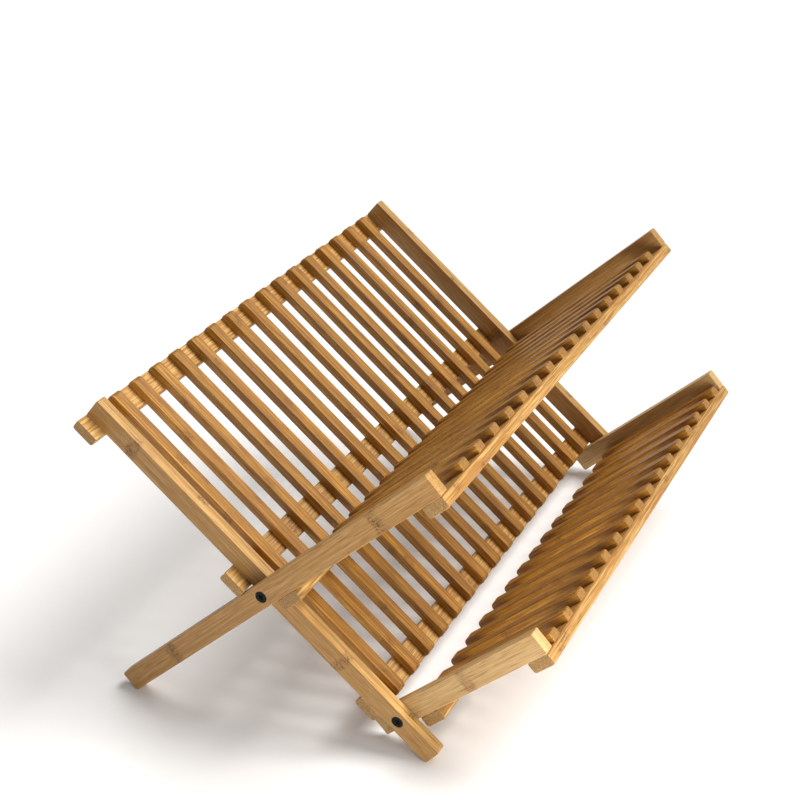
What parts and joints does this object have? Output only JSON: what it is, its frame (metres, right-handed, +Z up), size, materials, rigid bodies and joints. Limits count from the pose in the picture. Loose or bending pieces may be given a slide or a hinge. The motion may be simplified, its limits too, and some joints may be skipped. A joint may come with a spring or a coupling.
{
  "type": "dish drying rack",
  "caption": "Folding tiered bamboo dish rack: two crossed slatted frames hold plates upright above a low slatted shelf for cups.",
  "frame": {"origin": "on the floor under the middle of the standing rack's outline", "axes": "+X along the rack and its hinges, -Y is the front where the cup shelf is, +Z up"},
  "size_m": [0.42, 0.3234, 0.223],
  "materials": {
    "bamboo_legs": "smooth oiled bamboo",
    "bamboo_rails": "smooth oiled bamboo",
    "bamboo_slats": "smooth oiled bamboo",
    "black_screws": "black oxide, satin"
  },
  "bodies": {
    "back_frame": {"back_leg_left": "bamboo_legs", "back_leg_right": "bamboo_legs", "back_rail_bottom": "bamboo_rails", "back_rail_middle": "bamboo_rails", "back_rail_top": "bamboo_rails", "back_slat_01": "bamboo_slats", "back_slat_02": "bamboo_slats", "back_slat_03": "bamboo_slats", "back_slat_04": "bamboo_slats", "back_slat_05": "bamboo_slats", "back_slat_06": "bamboo_slats", "back_slat_07": "bamboo_slats", "back_slat_08": "bamboo_slats", "back_slat_09": "bamboo_slats", "back_slat_10": "bamboo_slats", "back_slat_11": "bamboo_slats", "back_slat_12": "bamboo_slats", "back_slat_13": "bamboo_slats", "back_slat_14": "bamboo_slats", "back_slat_15": "bamboo_slats", "back_slat_16": "bamboo_slats", "upper_screw_left": "black_screws", "upper_screw_right": "black_screws"},
    "front_frame": {"front_leg_left": "bamboo_legs", "front_leg_right": "bamboo_legs", "front_rail_bottom": "bamboo_rails", "front_rail_top": "bamboo_rails", "front_slat_01": "bamboo_slats", "front_slat_02": "bamboo_slats", "front_slat_03": "bamboo_slats", "front_slat_04": "bamboo_slats", "front_slat_05": "bamboo_slats", "front_slat_06": "bamboo_slats", "front_slat_07": "bamboo_slats", "front_slat_08": "bamboo_slats", "front_slat_09": "bamboo_slats", "front_slat_10": "bamboo_slats", "front_slat_11": "bamboo_slats", "front_slat_12": "bamboo_slats", "front_slat_13": "bamboo_slats", "front_slat_14": "bamboo_slats", "front_slat_15": "bamboo_slats", "front_slat_16": "bamboo_slats"},
    "cup_shelf": {"lower_screw_left": "black_screws", "lower_screw_right": "black_screws", "shelf_leg_left": "bamboo_legs", "shelf_leg_right": "bamboo_legs", "shelf_rail_back": "bamboo_rails", "shelf_rail_front": "bamboo_rails", "shelf_slats_1": "bamboo_slats", "shelf_slats_2": "bamboo_slats", "shelf_slats_3": "bamboo_slats", "shelf_slats_4": "bamboo_slats", "shelf_slats_5": "bamboo_slats", "shelf_slats_6": "bamboo_slats", "shelf_slats_7": "bamboo_slats", "shelf_slats_8": "bamboo_slats"}
  },
  "joints": [
    {"name": "rack_fold", "type": "hinge", "parent": "back_frame", "child": "front_frame", "pos_m": [0, 0.0314, 0.1073], "axis": [-1, 0, 0], "range_deg": [0, 96.9]},
    {"name": "shelf_fold", "type": "hinge", "parent": "back_frame", "child": "cup_shelf", "pos_m": [0, -0.05629, 0.02686], "axis": [-1, 0, 0], "range_deg": [0, 96.9]}
  ],
  "couplings": [
    {"joint": "shelf_fold", "follows": "rack_fold", "ratio": 1}
  ]
}
